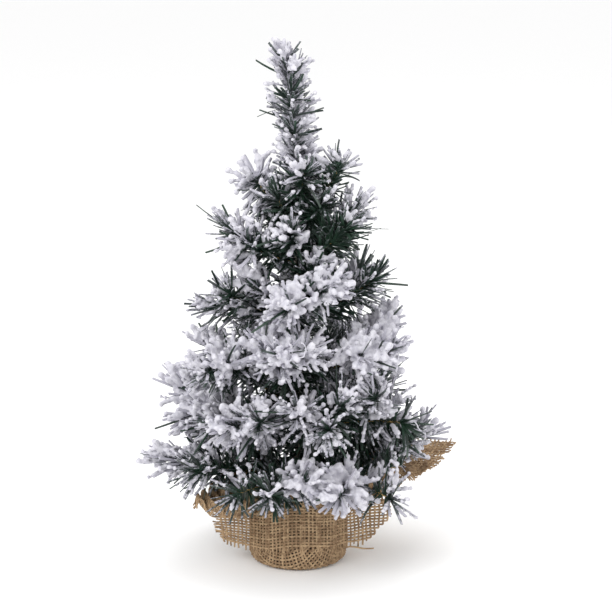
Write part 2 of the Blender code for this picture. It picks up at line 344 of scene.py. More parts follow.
def needleMaterial():
    # green film needles, dusted with flock all over, and coated where the flock attribute is high
    finish = needleFinish
    material, tree, shader, place, tone = tonedMaterial("flockedNeedles", finish)
    amount = attributeValue(tree, "flock")
    cover = placeGroup(tree, patchyCover, Vector=place, Amount=amount, Patch_Scale=finish["coatPatch"])
    thin = mathNode(tree, "MULTIPLY_ADD", amount, *finish["dustFromFlock"])
    dust = placeGroup(
        tree, patchyCover, Vector=place, Amount=thin,
        Patch_Scale=finish["dustPatch"], Softness=finish["dustSoftness"],
    )
    dusted = mathNode(tree, "MULTIPLY", dust.outputs["Cover"], finish["dustShare"])
    colour = mixColour(tree, dusted, tone.outputs["Color"], finish["dust"])
    colour = mixColour(tree, cover.outputs["Cover"], colour, finish["coat"])
    tree.links.new(colour, shader.inputs["Base Color"])
    rough = mapRange(tree, cover.outputs["Cover"], 0.0, 1.0, finish["roughness"], finish["coatRoughness"])
    tree.links.new(rough, shader.inputs["Roughness"])
    height = mathNode(tree, "MULTIPLY", cover.outputs["Cover"], cover.outputs["Grain"])
    addBump(tree, shader, height, *finish["bump"])
    return material


def grainyMaterial(name, finish):
    # matt and grainy all over: sprayed fibre, or cast cement
    material, tree, shader, place, tone = tonedMaterial(name, finish)
    addBump(tree, shader, addGrain(tree, place, *finish["grain"]), *finish["bump"])
    return material


def brassMaterial():
    # brassy wire, rough where it is dull
    finish = wireFinish
    material, tree, shader, place, tone = tonedMaterial("branchWire", finish)
    rough = mapRange(tree, tone.outputs["Value"], 0.0, 1.0, *finish["roughRange"])
    tree.links.new(rough, shader.inputs["Roughness"])
    return material


def juteMaterial():
    # spun jute: each yarn has its own tone, and fine fibre lines along it
    finish = juteFinish
    material, tree, shader, place, tone = tonedMaterial("juteYarn", finish)
    shift = mathNode(tree, "MULTIPLY_ADD", attributeValue(tree, "yarnTone"), *finish["yarnShift"])
    tree.links.new(shift, tone.inputs["Shift"])
    fibre = addGrain(tree, place, *finish["fibre"])
    share = mathNode(tree, "MULTIPLY", mapRange(tree, fibre, *finish["fibreRange"]), finish["fibreShare"])
    colour = mixColour(tree, share, tone.outputs["Color"], finish["tones"][1])
    tree.links.new(colour, shader.inputs["Base Color"])
    addBump(tree, shader, fibre, *finish["bump"])
    return material


needleCoat = needleMaterial()
flockCoat = grainyMaterial("whiteFlock", flockFinish)
brassWire = brassMaterial()
steelWire = tonedMaterial("trunkWire", trunkFinish)[0]
cementAndShade = grainyMaterial("castCement", cementAndShadeFinish)
jute = juteMaterial()
print("materials made")


# Branches: their places are read from the frame

branchRule = {
    # shares of the length: where side tips leave, and where the wire's sideways sway is read, in a band
    "sideStation": 0.45,
    "rootStation": 0.14,
    "rootBand": 0.05,
    # half the width at the end that still counts as the main tip, and the least reach of a side tip
    "tipBand": 6 * mm,
    "leastSide": 8 * mm,
    "middleRise": 0.2,
    "sideBend": 3 * mm,
    "steps": 16,
    "curl": 5.5 * mm,
    "droop": 1.5 * mm,
}
# how thickly each branch is flocked: all over, or on its main line, its right tip and its left tip;
# on the trunk, on its own line and then on each short tip
flockAmount = {
    "1a": 0.62, "1b": (0.62, 1.0, 0.55), "1c": (0.5, 0.5, 0.95), "1d": 0.72, "1e": 0.6, "1f": 0.7,
    "2a": 0.9, "2b": 0.76, "2c": 0.74, "2d": 0.75, "2e": 0.55, "2f": 0.6,
    "3a": 0.8, "3b": 0.86, "3c": 1.0, "3d": 0.6, "3e": 0.65,
    "4a": 0.5, "4b": 0.95, "4c": 0.42, "4d": 0.6,
    "5a": 0.5, "5b": 0.42, "5c": 0.5,
    "6a": 0.7, "6b": 0.45,
    "leader": 0.73,
    "trunk": (0.3, 0.6, 0.45, 0.7, 0.82, 0.5, 0.6, 0.4, 0.75),
}
needleSize = {
    # the strip that every needle is a copy of, and its taper: least and added width, between two shares
    "pattern": 20 * mm,
    "width": 1.65 * mm,
    "thickness": 0.42 * mm,
    "taper": (0.7, 0.3, 0.1, 0.92),
    # by the first letter of the branch's label, in millimetres
    "lengths": {"1": 22, "2": 22, "3": 21, "4": 21, "5": 20, "6": 19, "l": 18, "t": 18},
    "spacing": {"1": 0.56, "2": 0.56, "3": 0.50, "4": 0.40, "5": 0.34, "6": 0.28, "l": 0.25, "t": 0.34},
    "lean": {"branch": (72, 46), "leader": (60, 42)},
    # the bare foot of a twig, in millimetres
    "bare": {"upright": 1, "main": 5, "side": 3},
    "pastEnd": 4 * mm,
    "windPitch": 15 * mm,
    "rollSpread": 0.55,
    "leanSpread": 0.16,
    "stray": 0.6,
    "strayScale": 95,
    "sweep": 0.17,
    "wild": 0.09,
    "shares": (0.66, 1.1),
    "shortRoot": 0.3,
    # needles that stand out alone: how many, how much longer, how much further they lean, and their flock
    "loners": 0.025,
    "lonerLength": 1.4,
    "lonerLean": 0.3,
    "lonerFlock": 0.04,
    # extra needles at a tip, and the shares of the length past which they turn all round and fan out
    "tuft": 14,
    "tuftFrom": 0.93,
    "fanFrom": 0.95,
    # over the burlap: how unevenly needles are lifted off it, in millimetres, and the steepest that one hangs
    "liftSpread": 5,
    "steepest": -0.9,
    "shortest": 4 * mm,
}
# a needle's flock: its least, the shares that all needles and the upper ones get, and its patches
flockRule = {
    "least": 0.11,
    "even": 0.5,
    "onTop": 0.4,
    "patchScale": 55,
    "patch": {"leader": 0.15, "branch": 0.5},
    "uneven": 0.16,
    # how much of it reaches a needle's foot
    "inner": {"leader": 0.8, "branch": 0.3},
    "upright": 0.8,
    "root": 0.1,
    "outward": 1.2,
}
# short tips bound to the trunk between the branches: heading, share of the trunk's height, reach and rise
trunkTips = (
    (-74, 0.99, 15 * mm, 20 * mm), (-140, 0.93, 17 * mm, 15 * mm), (-38, 0.91, 20 * mm, 14 * mm),
    (-100, 0.84, 24 * mm, 12 * mm), (75, 0.95, 16 * mm, 16 * mm), (-60, 0.74, 24 * mm, 8 * mm),
    (150, 0.86, 20 * mm, 10 * mm), (197, 0.66, 34 * mm, 14 * mm),
)
# the way some branches' needles are combed
combed = {
    "1b": (0.15, 0, 0), "1c": (-0.5, 0.2, 0.5), "1d": (-0.3, 0, 0.35), "2a": (-0.1, 0, 0.1),
    "2d": (-0.6, 0, -0.1), "6a": (0.1, 0, -0.35), "6b": (-0.45, 0, -0.1),
}
# a tip starts just off the trunk's line, in millimetres
trunkRule = {"overWeight": 5 * mm, "offLine": 2.6, "bendOut": 0.7, "bendUp": 0.2, "steps": 6}
# how far needles may reach past the bodies of the branches, and down towards the weight
outlineLow = Vector(cadLow) - Vector((11, 10, 0)) * mm
outlineHigh = Vector(cadHigh) + Vector((11, 10, 7)) * mm
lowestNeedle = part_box("cement_weight")[1][2] + 7 * mm


def branchFrame(joint):
    # outward, sideways and upward directions of a branch at its root
    sideways = -Vector(joint["axis"])
    if joint["child"] == "leader":
        outward = Vector((0, 0, 1))
    else:
        outward = Vector((0, 0, 1)).cross(-sideways)
    basis = Matrix((outward, sideways, outward.cross(sideways))).transposed().to_4x4()
    return Matrix.Translation(Vector(joint["pos_m"])) @ basis


def meanWhere(points, test):
    chosen = [point for point in points if test(point)]
    return sum(chosen, Vector()) / len(chosen)


def bezier(start, middle, end, steps):
    points = []
    for step in range(steps + 1):
        share = step / steps
        points.append((1 - share) ** 2 * start + 2 * share * (1 - share) * middle + share ** 2 * end)
    return points


def readBranch(joint):
    # the branch's twigs as smooth lines, read from its CAD wire: the main one, then its side tips
    label = joint["child"].replace("branch_", "")
    place = branchFrame(joint)
    inverse = place.inverted()
    points = [inverse @ vert.co for vert in frame["nodes"][f"stem_{label}"].data.vertices]
    farthest = max(point.x for point in points)
    band = branchRule["tipBand"]
    tip = meanWhere(points, lambda point: point.x > farthest - mm and abs(point.y) < band)
    early = branchRule["rootStation"]
    band = branchRule["rootBand"] * tip.x
    ring = meanWhere(points, lambda point: abs(point.x - early * tip.x) < band)
    sway = ring.y / (2 * early * (1 - early))
    middle = Vector((tip.x * 0.5, sway, tip.z * branchRule["middleRise"]))
    main = bezier(Vector(), middle, tip, branchRule["steps"])
    curls = random.Random(label)

    def curled(line, start):
        # the line with its outer part bent aside
        aside = Vector((0, curls.gauss(0, 1), curls.gauss(0, 0.7))) * branchRule["curl"]
        aside.z -= branchRule["droop"]
        last = len(line) - 1
        shares = [max(0.0, (number / last - start) / (1 - start)) ** 2 for number in range(last + 1)]
        return [place @ (point + aside * share) for point, share in zip(line, shares)]

    twigs = [curled(main, branchRule["sideStation"])]
    share = branchRule["sideStation"]
    start = 2 * share * (1 - share) * middle + share ** 2 * tip
    for side in (1, -1):
        most = max(side * point.y for point in points)
        if most < branchRule["leastSide"]:
            continue
        end = meanWhere(points, lambda point: side * point.y > most - mm)
        bend = start.lerp(end, 0.5) + (tip - start).normalized() * branchRule["sideBend"]
        twigs.append(curled(bezier(start, bend, end, branchRule["steps"] // 2), 0.0))
    nodes = (f"needles_{label}", f"stem_{label}")
    return {"label": label, "body": joint["child"], "twigs": twigs, "nodes": nodes}


def readTrunk():
    # the trunk's own line above the weight, and the short tips bound to it
    rule = trunkRule
    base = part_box("cement_weight")[1][2] + rule["overWeight"]
    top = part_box("trunk_wire_a")[1][2]
    twigs = [[Vector((0, 0, base)), Vector((0, 0, top))]]
    for degrees, share, reach, rise in trunkTips:
        out = Vector((math.cos(math.radians(degrees)), math.sin(math.radians(degrees)), 0))
        foot = Vector((0, 0, base + share * (top - base)))
        bend = foot + out * reach * rule["bendOut"] + Vector((0, 0, rule["bendUp"] * rise))
        end = foot + out * reach + Vector((0, 0, rise))
        twigs.append(bezier(foot + out * rule["offLine"] * mm, bend, end, rule["steps"]))
    return {"label": "trunk", "body": "root", "twigs": twigs, "nodes": ()}


def alongTwig(line, distance):
    # the place and direction at a distance along a line, running straight on past its end
    for first, second in zip(line, line[1:]):
        step = (second - first).length
        if distance <= step or second is line[-1]:
            direction = (second - first).normalized()
            return first + direction * distance, direction
        distance -= step


def twigLength(line):
    return sum((second - first).length for first, second in zip(line, line[1:]))


def needlePattern():
    # a flat strip along +X, narrower at both ends
    length = needleSize["pattern"]
    least, added, fromShare, toShare = needleSize["taper"]
    work = bmesh.new()
    bmesh.ops.create_cube(work, size=1.0)
    bmesh.ops.scale(work, verts=work.verts, vec=(length, needleSize["width"], needleSize["thickness"]))
    bmesh.ops.translate(work, verts=work.verts, vec=(length / 2, 0, 0))
    lengthways = [edge for edge in work.edges if abs(edge.verts[0].co.x - edge.verts[1].co.x) > length / 2]
    bmesh.ops.subdivide_edges(work, edges=lengthways, cuts=3)
    for vert in work.verts:
        share = vert.co.x / length
        taper = least + added * math.sin(math.pi * min(toShare, max(fromShare, share)))
        vert.co.y *= taper
        vert.co.z *= taper
    return meshOf(work, "needle")


def sideAxes(direction, roll):
    # two unit directions across a given one, turned by the roll
    helper = Vector((0, 0, 1)) if abs(direction.z) < 0.9 else Vector((1, 0, 0))
    first = direction.cross(helper).normalized()
    second = direction.cross(first)
    return (
        first * math.cos(roll) + second * math.sin(roll),
        second * math.cos(roll) - first * math.sin(roll),
    )


def liftedOff(place, heading, size, rng):
    # the heading, turned up where the needle would hang down over the burlap
    lowest = (lowestNeedle + rng.uniform(0, needleSize["liftSpread"]) * mm - place.z) / size
    if heading.z < lowest:
        heading = Vector((heading.x, heading.y, max(lowest, needleSize["steepest"]))).normalized()
    return heading


def fittedSize(place, heading, size):
    # a needle's length, cut short where it would reach out of the tree's outline
    for axis in range(3):
        limit = outlineHigh[axis] if heading[axis] > 0 else outlineLow[axis]
        if abs(heading[axis]) > 0.05:
            size = min(size, max(needleSize["shortest"], (limit - place[axis]) / heading[axis]))
    return size


def scatter(rng, up=0.0):
    # a random direction and length, leaning up or down on average
    return Vector((rng.gauss(0, 1), rng.gauss(0, 1), rng.gauss(up, 1)))


def layNeedles(branch, twigNumber, amount, rng):
    # where each needle of a twig starts, where it points, how long it is and how much flock it holds
    rule = needleSize
    line = branch["twigs"][twigNumber]
    length = twigLength(line)
    kind = branch["label"][0]
    style = "leader" if kind == "l" else "branch"
    main = twigNumber == 0
    upright = kind in "lt" and main
    leanAtRoot, leanAtTip = rule["lean"][style]
    begin = rule["bare"]["upright" if upright else "main" if main else "side"] * mm
    count = int((length - begin + rule["pastEnd"]) / (rule["spacing"][kind] * mm))
    sweep = scatter(rng, -0.2) * rule["sweep"]
    sweep += Vector(combed.get(branch["label"], (0, 0, 0)))
    laid = []
    for number in range(count + rule["tuft"]):
        share = min(1.0, (number + rng.random() * 0.6) / count)
        distance = begin + share * (length - begin)
        place, along = alongTwig(line, distance)
        # two needles leave each turn of the wire, and a tip's needles turn all round
        roll = 2 * math.pi * (distance / rule["windPitch"] + number / 2) + rng.gauss(0, rule["rollSpread"])
        if share > rule["tuftFrom"]:
            roll = number * goldenTurn
        aside = sideAxes(along, roll)[0]
        toTip = distance / length
        lean = math.radians(leanAtRoot + (leanAtTip - leanAtRoot) * toTip ** 1.5)
        if toTip > rule["fanFrom"]:
            lean *= rng.uniform(0.05, 1.0)
        lean += rng.gauss(0, rule["leanSpread"])
        loner = rng.random() < rule["loners"]
        if loner:
            lean += rule["lonerLean"]
        heading = along * math.cos(lean) + aside * math.sin(lean)
        drift = noise.noise_vector((place + heading * 9 * mm) * rule["strayScale"]) * rule["stray"]
        heading += drift + sweep + scatter(rng) * rule["wild"]
        if kind == "t" and main:
            heading.z *= rng.uniform(-0.5, 1.0)
        heading.normalize()
        size = rule["lengths"][kind] * mm * rng.uniform(*rule["shares"])
        if loner:
            size *= rule["lonerLength"]
        if main and not upright and toTip < rule["shortRoot"]:
            size *= 0.72 + 0.9 * toTip
        heading = liftedOff(place, heading, size, rng)
        lit = 0.5 + 0.5 * heading.z
        outer = min(1.0, flockRule["root"] + toTip * flockRule["outward"])
        if upright:
            outer = flockRule["upright"]
        patch = noise.noise(place * flockRule["patchScale"] + Vector((7, 3, 1)) * len(laid) * 0.002)
        patch *= flockRule["patch"][style]
        flock = flockRule["least"] + amount * (flockRule["even"] + flockRule["onTop"] * lit) * outer
        flock = flock + patch + rng.uniform(-flockRule["uneven"], flockRule["uneven"])
        if loner:
            flock = rule["lonerFlock"]
        laid.append({
            "place": place, "heading": heading, "along": along,
            "size": fittedSize(place, heading, size), "bend": rng.gauss(0.05, 0.2),
            "flock": max(0.0, min(1.0, flock)), "inner": flockRule["inner"][style],
        })
    return laid


def bowOf(needle):
    # the direction and amount in which a needle curves, towards the tip of its twig
    return (needle["along"] - needle["heading"] * needle["along"].dot(needle["heading"])) * needle["bend"]


flockedNeedle = {"twist": 0.6, "tilt": 0.7, "thicker": 3.2, "from": 0.3, "wider": 0.35, "lump": 0.5}


def addNeedle(work, layer, pattern, needle, rng):
    # a copy of the pattern strip, turned to its heading, curved, twisted and thickened by its flock
    rule = flockedNeedle
    fresh = addCopy(work, pattern)
    heading, flock = needle["heading"], needle["flock"]
    width, normal = sideAxes(heading, rng.uniform(-rule["tilt"], rule["tilt"]))
    size = needle["size"] / needleSize["pattern"]
    thicker = 1 + rule["thicker"] * max(0.0, flock - rule["from"])
    bow = bowOf(needle)
    twist = rng.uniform(-rule["twist"], rule["twist"])
    for vert in fresh:
        share = vert.co.x / needleSize["pattern"]
        turn = twist * share
        across = width * math.cos(turn) + normal * math.sin(turn)
        upward = normal * math.cos(turn) - width * math.sin(turn)
        reach = vert.co.x * size
        lump = 1 + rule["lump"] * flock * noise.noise(needle["place"] * 3000 + vert.co * 700)
        offset = (
            heading * reach
            + across * vert.co.y * (1 + rule["wider"] * flock) * lump
            + upward * vert.co.z * thicker * lump
            + bow * reach * share
        )
        # the coat is thicker on the upper face and towards the tip
        top = 0.5 + 0.5 * (1 if upward.z * vert.co.z > 0 else -1)
        coat = needle["inner"] + (1 - needle["inner"]) * share
        vert[layer] = max(0.0, min(1.0, flock * coat * (0.75 + 0.45 * top) + 0.08 * top))
        vert.co = needle["place"] + offset


clumpShape = {
    # the least flock that makes a finger, and how often one is made
    "least": 0.52,
    "chance": 0.58,
    "balls": 5,
    "start": (0.30, 0.5),
    "radius": 1.45 * mm,
    "growth": 2.4 * mm,
    "uneven": (0.7, 1.15),
    "firstBall": 0.75,
    "wander": 0.35,
    "stretch": ((0.85, 1.2), (0.85, 1.2), (0.85, 1.15)),
    # the size of the cells that fuse the balls, the share of faces kept, and two scales of roughness
    "voxel": 0.85 * mm,
    "keep": 0.6,
    "rough": (900, 420),
    "roughDepth": 0.35,
}


def addClump(work, ball, needle, rng):
    # a knobbly finger of flock on the outer part of a needle, as a chain of balls
    rule = clumpShape
    thick = rule["radius"] + rule["growth"] * (needle["flock"] - rule["least"])
    start = rng.uniform(*rule["start"])
    for number in range(rule["balls"]):
        share = start + (1.0 - start) * number / (rule["balls"] - 1)
        reach = share * needle["size"]
        place = needle["place"] + needle["heading"] * reach + bowOf(needle) * reach * share
        place += scatter(rng, 0.3) * rule["wander"] * mm
        radius = thick * rng.uniform(*rule["uneven"]) * (rule["firstBall"] if number == 0 else 1.0)
        stretch = Vector([rng.uniform(*limits) for limits in rule["stretch"]])
        for vert in addCopy(work, ball):
            vert.co = place + vert.co * stretch * radius


crust = {
    "from": 0.72,
    "fingers": 170,
    "station": (0.35, 1.0),
    "forward": (0.2, 0.8),
    "upward": Vector((0, 0, 0.5)),
    "reach": 16 * mm,
    "shares": (0.75, 1.1),
    "flock": (0.75, 1.05),
}


def addCrust(work, ball, line, amount, rng):
    # extra fingers of flock, mostly on the upper side of a heavily flocked twig
    length = twigLength(line)
    for _ in range(int(crust["fingers"] * max(0.0, amount - crust["from"]))):
        place, along = alongTwig(line, length * rng.uniform(*crust["station"]))
        side = sideAxes(along, rng.uniform(0, 2 * math.pi))[0]
        heading = (side + along * rng.uniform(*crust["forward"]) + crust["upward"]).normalized()
        size = fittedSize(place, heading, crust["reach"] * rng.uniform(*crust["shares"]))
        finger = {"place": place, "heading": heading, "along": along, "bend": 0.0, "size": size}
        finger["flock"] = rng.uniform(*crust["flock"])
        addClump(work, ball, finger, rng)


def fuse(work, name):
    # the balls joined to one skin, thinned and roughened
    holder = newObject(name, meshOf(work, name))
    remesh = holder.modifiers.new("fuse", "REMESH")
    remesh.mode = "VOXEL"
    remesh.voxel_size = clumpShape["voxel"]
    thin = holder.modifiers.new("thin", "DECIMATE")
    thin.ratio = clumpShape["keep"]
    mesh = evaluatedMesh(holder)
    roughen = bmesh.new()
    roughen.from_mesh(mesh)
    fine, coarse = clumpShape["rough"]
    depth = clumpShape["roughDepth"]
    for vert in roughen.verts:
        push = noise.noise(vert.co * fine) * depth * mm + noise.noise(vert.co * coarse) * depth * mm
        vert.co += vert.normal * push
    roughen.to_mesh(mesh)
    roughen.free()
    mesh.shade_smooth()
    return mesh


wireSize = {
    # a strand's radius on main lines and on tips
    "main": 0.42 * mm,
    "tip": 0.34 * mm,
    "pitch": 5.5 * mm,
    "stepsPerTurn": 5,
    "apart": 1.02,
    # how far it stops short of the needles' line
    "short": 1.5 * mm,
}


def twistedPair(line, strand):
    # two strands wound round a line
    length = twigLength(line) - wireSize["short"]
    steps = max(8, int(length / wireSize["pitch"] * wireSize["stepsPerTurn"]))
    routes = [[], []]
    for step in range(steps + 1):
        distance = length * step / steps
        place, along = alongTwig(line, distance)
        first, second = sideAxes(along, 0)
        turn = 2 * math.pi * distance / wireSize["pitch"]
        for number, route in enumerate(routes):
            angle = turn + math.pi * number
            offset = (first * math.cos(angle) + second * math.sin(angle)) * strand * wireSize["apart"]
            route.append((place + offset, strand))
    return routes


def flockBall():
    work = bmesh.new()
    bmesh.ops.create_icosphere(work, subdivisions=1, radius=1.0)
    return meshOf(work, "ball")


pattern = needlePattern()
ball = flockBall()


def makeBranch(branch, number):
    # one branch's needles, its flock and its twisted wires, as three pieces
    rng = random.Random(1000 + number)
    label, twigs = branch["label"], branch["twigs"]
    amounts = flockAmount[label]
    if not isinstance(amounts, tuple):
        amounts = (amounts,) * len(twigs)
    work = bmesh.new()
    layer = work.verts.layers.float.new("flock")
    clumps = bmesh.new()
    total, flocked = 0, 0
    for twigNumber, (line, amount) in enumerate(zip(twigs, amounts)):
        for needle in layNeedles(branch, twigNumber, amount, rng):
            addNeedle(work, layer, pattern, needle, rng)
            total += 1
            if needle["flock"] > clumpShape["least"] and rng.random() < clumpShape["chance"]:
                addClump(clumps, ball, needle, rng)
                flocked += 1
        addCrust(clumps, ball, line, amount, rng)
    mesh = meshOf(work, f"brush_{label}")
    mesh.set_sharp_from_angle(angle=math.radians(50))
    brush = newPiece(f"brush_{label}", mesh, branch["body"], "flocked_needles", *branch["nodes"][:1])
    setMaterial(brush, needleCoat)
    skin = fuse(clumps, f"flock_{label}")
    flock = newPiece(f"flock_{label}", skin, branch["body"], "flocked_needles")
    setMaterial(flock, flockCoat)
    routes = []
    for twigNumber, line in enumerate(twigs):
        # the trunk's own line is its two stout wires
        if label != "trunk" or twigNumber > 0:
            routes += twistedPair(line, wireSize["tip" if twigNumber else "main"])
    mesh = tubesMesh(f"wires_{label}", routes)
    wires = newPiece(f"wires_{label}", mesh, branch["body"], "branch_wire", *branch["nodes"][1:])
    setMaterial(wires, brassWire)
    print("branch", label, "needles", total, "flocked", flocked, "flock faces", len(skin.polygons))


branches = [readBranch(joint) for joint in frame["joints"]] + [readTrunk()]
for number, branch in enumerate(branches):
    makeBranch(branch, number)


# thin flocked threads that hang loose from some tips
looseThread = {
    "lengths": {"3b": 28 * mm, "2d": 26 * mm, "3c": 18 * mm},
    "radius": 0.42 * mm,
    "uneven": (0.75, 1.25),
    # in millimetres, how far from the tip it starts, and each step
    "away": 14,
    "step": 1.2,
    "side": Vector((0.5, -0.7, 0.3)),
    "heading": Vector((0.3, -0.4, -0.5)),
    "turn": 0.33,
}


def makeThread(branch):
    rule = looseThread
    label = branch["label"]
    rng = random.Random(f"thread {label}")
    place = branch["twigs"][0][-1] + rule["side"] * rule["away"] * mm
    heading = rule["heading"].normalized()
    route = []
    for _ in range(int(rule["lengths"][label] / (rule["step"] * mm))):
        route.append((place.copy(), rule["radius"] * rng.uniform(*rule["uneven"])))
        turn = Vector((rng.gauss(0, 1), rng.gauss(0, 0.5), rng.gauss(-0.2, 1)))
        heading = (heading + turn * rule["turn"]).normalized()
        place += heading * rule["step"] * mm
    name = f"thread_{label}"
    thread = newPiece(name, tubesMesh(name, [route]), branch["body"], "flocked_needles")
    setMaterial(thread, flockCoat)


for branch in branches:
    if branch["label"] in looseThread["lengths"]:
        makeThread(branch)
print("branches made")

# the weight's dark brown is partly painted shade, seen through the gaps in the burlap
setMaterial(frame["nodes"]["cement_weight"], cementAndShade)
for name in ("trunk_wire_a", "trunk_wire_b"):
    setMaterial(frame["nodes"][name], steelWire)


# Burlap: two pieces of one open jute cloth, each woven yarn by yarn over the shape that the cloth takes

burlap = {
    "yarnRadius": 0.69 * mm,
    # how far a yarn passes over and under the others
    "crimp": 0.34 * mm,
    "thickness": (0.86, 1.14),
    "slub": 0.22,
    "slubScale": 260,
    "wander": 0.22 * mm,
    "wanderScale": 130,
    "tones": 5,
    # frayed edges: rows pulled out, how often the last of them stays, and steps by which a yarn stops short
    "pulledOut": 2,
    "stays": 0.35,
    "stopsShort": (0, 0, 0, 1),
    "shortest": 3,
    # a yarn's loose end: its length in steps, how much more it wanders, and how much it thins
    "looseEnd": 2.5,
    "looseWander": 2.4,
    "looseThin": 0.25,
}
squareCloth = {
    "halfSide": 117 * mm,
    "pitchAlong": 2.7 * mm,
    "pitchUp": 2.4 * mm,
    "yarnHeading": -23,
    "wallRadius": 32.3 * mm,
    "footRadius": 3.2 * mm,
    "underside": 1.35 * mm,
    # the path from the centre to where the cloth leaves the weight, and its further climb at the front
    "rimPath": 72 * mm,
    "frontRise": 13 * mm,
    # folds up the wall, deeper behind, between two eased ends
    "folds": 17,
    "foldDepth": 0.7 * mm,
    "foldEnds": (16 * mm, 14 * mm),
    "foldUneven": 1.3,
    "deeperBehind": 0.9,
    "swing": 1.5,
    # each corner's heading in degrees, how much of its length stands out, its slope and its sideways tilt
    "corners": (
        (22, 1.0, 0.28, 0.14), (112, 0.40, 0.10, 0.0), (202, 0.47, 0.06, -0.12), (292, 0.22, 0.5, 0.0),
    ),
    "between": (0.36, 0.30),
    "tiltReach": 60 * mm,
    # the corners' outer folds, ruffles and rumples
    "flareReach": 12 * mm,
    "rimLift": 2.5,
    "fan": 0.42,
    "fanReach": 80 * mm,
    "crumple": 13 * mm,
    "crumpleDepth": 0.17,
    "ruffle": 0.15,
    "ruffleReach": 20 * mm,
    "calm": (0.92, 36 * mm, 60 * mm),
    "rumple": 2.2,
    "rumpleScale": 45,
    "rumpleReach": 25 * mm,
    # the corner that is cut short, its heading and its length, and the headings between which it is tucked in
    "tuckedCorner": (292, 96 * mm),
    "tucked": (224, 336),
    "tuckEase": 14,
    "tuckIn": 0.9,
    "tuckDrop": 4,
}
stripCloth = {
    "pitchAlong": 2.75 * mm,
    "pitchUp": 2.1 * mm,
    "height": 37 * mm,
    "lift": 15 * mm,
    # how far its lower edge hangs below or above that, in millimetres, at shares of its length
    "edge": ((0.0, -1.5), (0.22, -6.0), (0.47, 0.0), (0.76, -4.5), (1.0, -0.5)),
    "radius": 33.7 * mm,
    "from": 213,
    "to": 338,
    "step": 5,
    # its two ends that stand out: length, slant away from the front, narrowing and lean
    "leftEnd": 29 * mm,
    "rightEnd": 32 * mm,
    "slants": (0.12, 0.10),
    "narrowing": (0.16, 0.04),
    "leans": (0.2, 0.25),
    "sway": 2.4,
    "swayScale": 210,
    "ripple": (0.35, 1.6),
    "rippleScale": 60,
    # the far top corner is folded over, and two corners are worn away
    "foldedCorner": 10 * mm,
    "foldGap": 1.5 * mm,
    "foldEase": 2 * mm,
    "lowWorn": 17 * mm,
    "topWorn": 6 * mm,
    "topSlant": 0.6,
    # one yarn pulled out at the right: its length, points and radius
    "pulledYarn": 19 * mm,
    "pulledPoints": 9,
    "pulledRadius": 0.55 * mm,
}


def smoothShare(value, low, high):
    share = min(1.0, max(0.0, (value - low) / (high - low)))
    return share * share * (3 - 2 * share)


def easedBetween(share, stops):
    # the value at a share, eased from stop to stop
    for (first, low), (second, high) in zip(stops, stops[1:]):
        if share <= second:
            return low + (high - low) * smoothShare(share, first, second)
    return stops[-1][1]


def turnedFrom(heading, start):
    # the angle from one heading to another, between -180 and 180 degrees
    return (heading - start + 180) % 360 - 180


